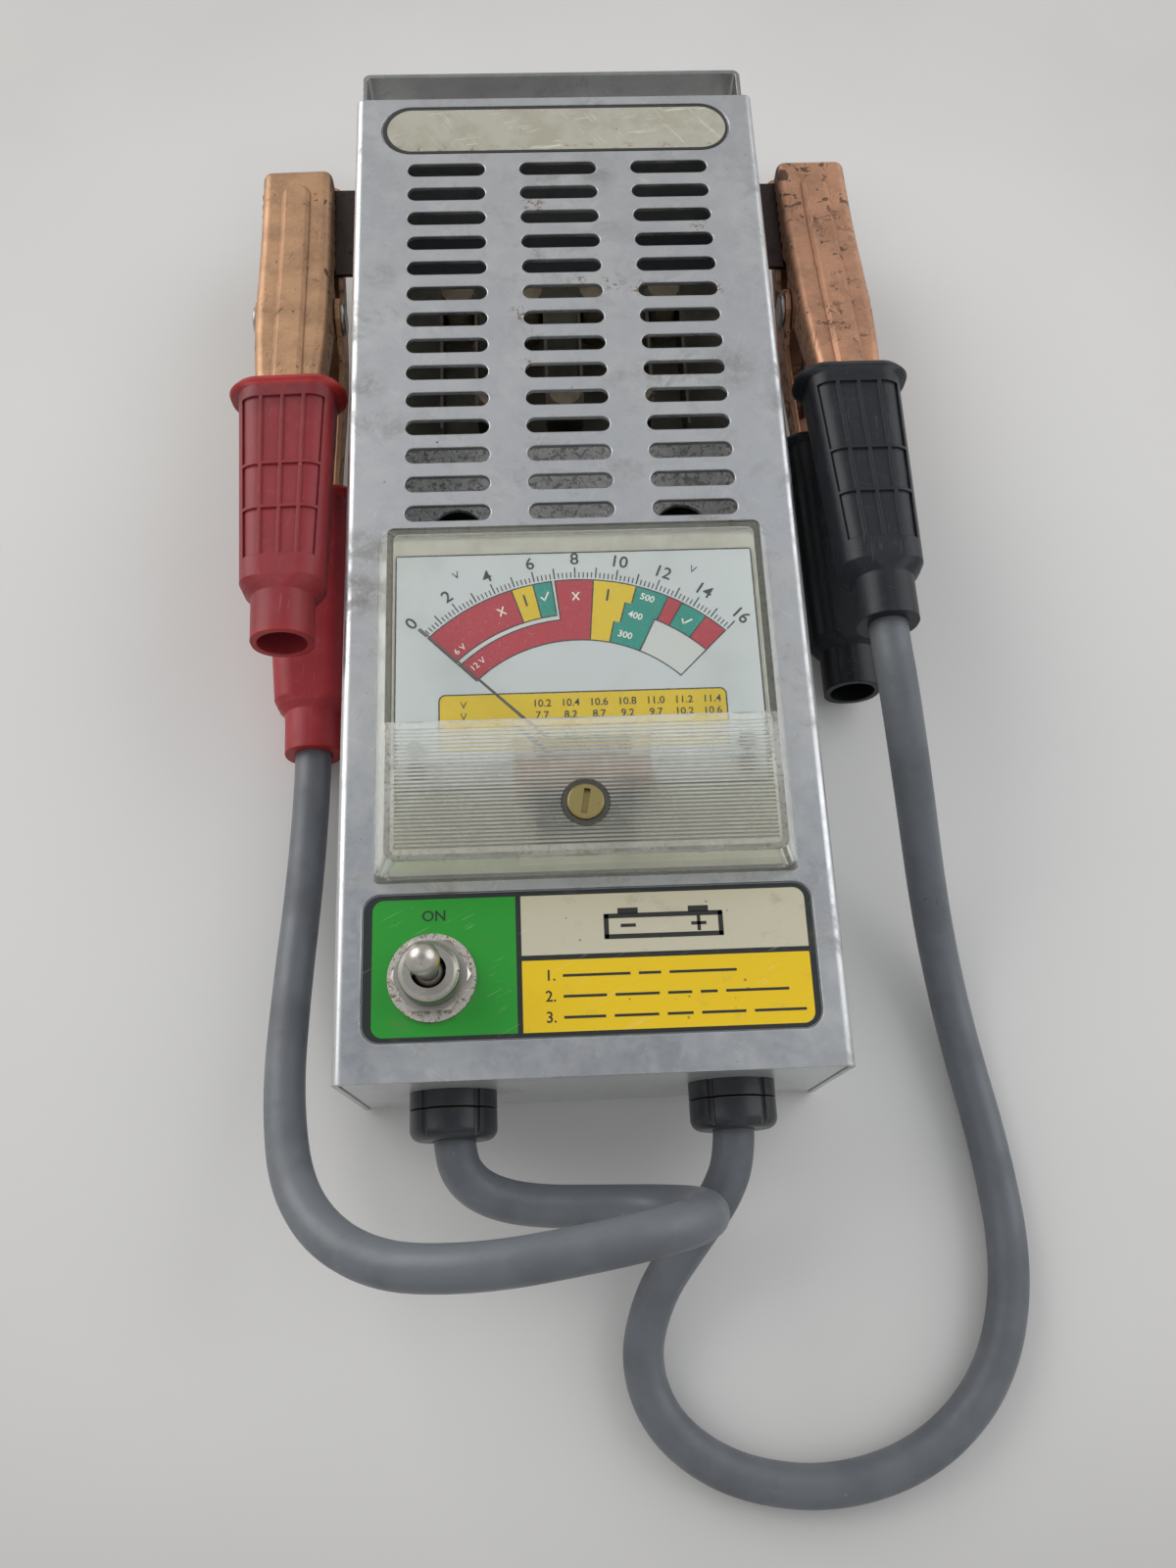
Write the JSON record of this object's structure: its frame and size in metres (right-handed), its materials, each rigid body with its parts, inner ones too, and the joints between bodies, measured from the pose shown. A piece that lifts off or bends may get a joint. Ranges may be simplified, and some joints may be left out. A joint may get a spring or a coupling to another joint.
{
  "type": "battery load tester",
  "caption": "Hand-held battery load tester: vented metal case, meter, toggle switch, strap handle, two cables with toothed copper clamps biting side rests.",
  "frame": {"origin": "middle of the back plate's rest face", "axes": "+Z out of the meter's front, +Y from the cable end to the handle end, +X to the right"},
  "size_m": [0.1809, 0.3738, 0.0723],
  "materials": {
    "chrome_sheet": "worn satin chrome",
    "plain_steel": "dull zinc",
    "bright_steel": "bright nickel",
    "bare_plate": "bare satin plate",
    "label": "printed label",
    "clear_cover": "clear yellowed acrylic",
    "dark_plastic": "black moulding",
    "cream_plastic": "cream moulding",
    "dial": "printed dial",
    "pointer": "black enamel",
    "brass": "dull brass",
    "switch_plastic": "phenolic",
    "resistance_strip": "heat-tinted strip",
    "ceramic": "unglazed",
    "board": "phenolic board",
    "galvanised": "galvanised",
    "black_nylon": "black nylon",
    "grey_cable": "satin vinyl",
    "lead": "black rubber",
    "copper": "copper plate",
    "spring_steel": "spring steel",
    "red_vinyl": "red vinyl",
    "black_vinyl": "black vinyl"
  },
  "bodies": {
    "tester": {"front_cover": "chrome_sheet", "rear_chassis": "chrome_sheet", "carry_handle": "chrome_sheet", "left_clamp_rest": "chrome_sheet", "right_clamp_rest": "chrome_sheet", "handle_screws": "bright_steel", "handle_nuts": "plain_steel", "case_screws": "plain_steel", "name_plate": "bare_plate", "front_label": "label", "meter_cover": "clear_cover", "meter_case": "dark_plastic", "dial_plate": "dial", "dial_screws": "bright_steel", "movement_magnet": "dark_plastic", "movement_bridge": "cream_plastic", "meter_studs": "plain_steel", "switch_body": "switch_plastic", "switch_bushing": "bright_steel", "switch_washer": "plain_steel", "switch_nut": "bright_steel", "switch_terminals": "brass", "load_ribbon": "resistance_strip", "load_posts": "ceramic", "load_board": "board", "board_spacers": "plain_steel", "heat_shield": "galvanised", "inner_leads": "lead", "gland_locknuts": "black_nylon", "red_gland_body": "black_nylon", "red_gland_nut": "black_nylon", "black_gland_body": "black_nylon", "black_gland_nut": "black_nylon", "red_cable": "grey_cable", "black_cable": "grey_cable", "red_lower_jaw": "copper", "red_rivet": "copper", "red_spring": "spring_steel", "red_lower_boot": "red_vinyl", "black_upper_jaw": "copper", "black_rivet": "copper", "black_spring": "spring_steel", "black_upper_boot": "black_vinyl"},
    "lever": {"switch_lever": "bright_steel"},
    "pointer": {"pointer": "pointer"},
    "zero_screw": {"zero_screw": "brass"},
    "red_upper_half": {"red_upper_jaw": "copper", "red_upper_boot": "red_vinyl"},
    "black_lower_half": {"black_lower_jaw": "copper", "black_lower_boot": "black_vinyl"}
  },
  "joints": [
    {"name": "switch_toggle", "type": "hinge", "parent": "tester", "child": "lever", "pos_m": [-0.0327, -0.1081, 0.0553], "axis": [-1, 0, 0], "range_deg": [0, 15], "stiffness_Nm_per_rad": 0.05},
    {"name": "pointer_sweep", "type": "hinge", "parent": "tester", "child": "pointer", "pos_m": [0, -0.0654, 0.0546], "axis": [0, 0, -1], "range_deg": [0, 90], "stiffness_Nm_per_rad": 0.0004},
    {"name": "zero_adjust", "type": "hinge", "parent": "tester", "child": "zero_screw", "pos_m": [0, -0.075, 0.0612], "axis": [0, 0, 1], "range_deg": [-60, 60]},
    {"name": "red_clamp_pivot", "type": "hinge", "parent": "tester", "child": "red_upper_half", "pos_m": [-0.06985, 0.075, 0.0285], "axis": [0.9996, 0.0297, 0], "range_deg": [0, 12], "stiffness_Nm_per_rad": 0.6, "springref_deg": -28.65, "deforming": ["red_spring"]},
    {"name": "black_clamp_pivot", "type": "hinge", "parent": "tester", "child": "black_lower_half", "pos_m": [0.0711, 0.0756, 0.0285], "axis": [-1, -0.0061, 0], "range_deg": [0, 12], "stiffness_Nm_per_rad": 0.6, "springref_deg": -28.65, "deforming": ["black_spring"]}
  ]
}
